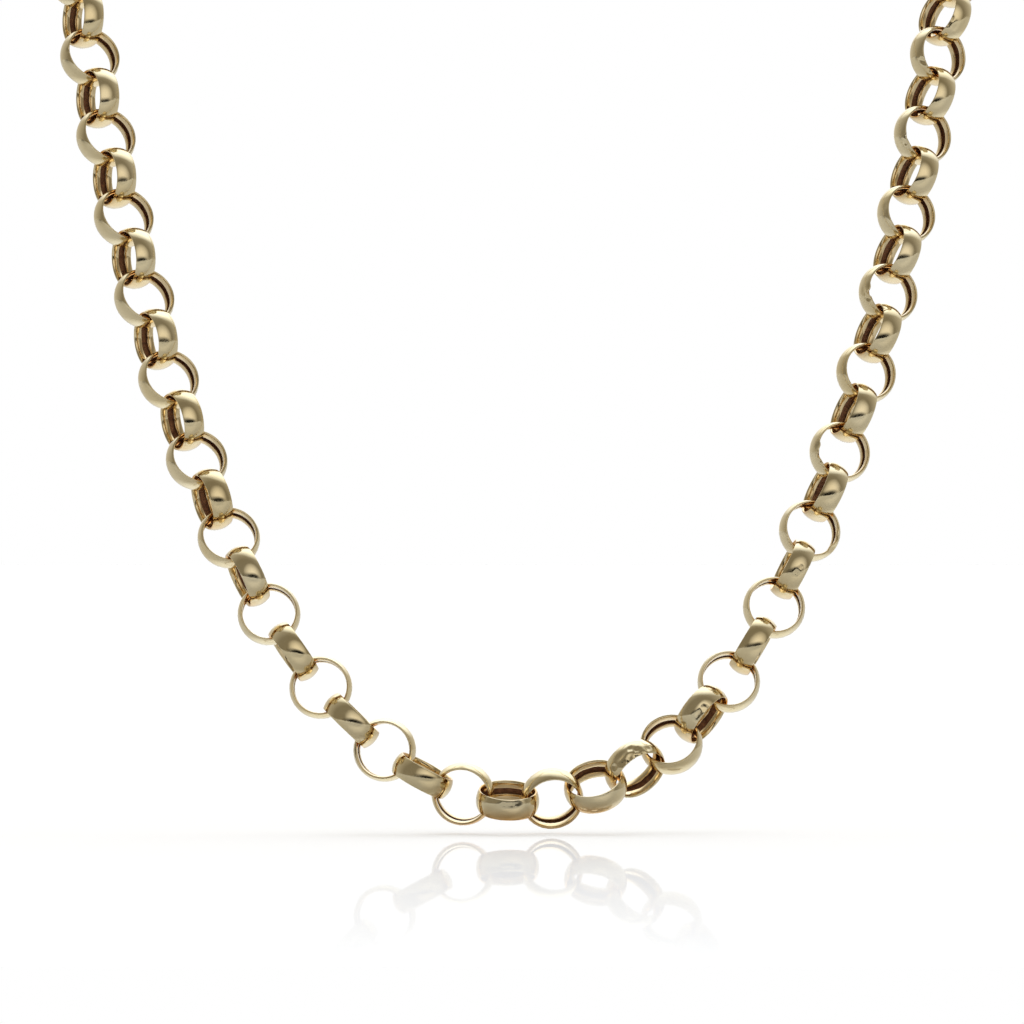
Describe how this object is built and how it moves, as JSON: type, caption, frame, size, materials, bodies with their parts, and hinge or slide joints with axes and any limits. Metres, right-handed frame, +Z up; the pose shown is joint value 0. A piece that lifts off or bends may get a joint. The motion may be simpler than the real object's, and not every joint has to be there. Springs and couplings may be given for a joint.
{
  "type": "rolo chain necklace",
  "caption": "Rolo chain necklace of wide hollow round links set at right angles, closed at the nape by a plain claw clasp.",
  "frame": {"origin": "the nape: the middle of the back of the loop, where the clasp lies on the back of the neck", "axes": "+Z up the wearer's body, -Y towards the front of the chest, +X towards the right of the picture"},
  "size_m": [0.1272, 0.1121, 0.1507],
  "materials": {
    "gold": "polished pale yellow gold"
  },
  "bodies": {
    "root": {"chain_left": "gold", "chain_right": "gold", "clasp": "gold"}
  },
  "joints": []
}
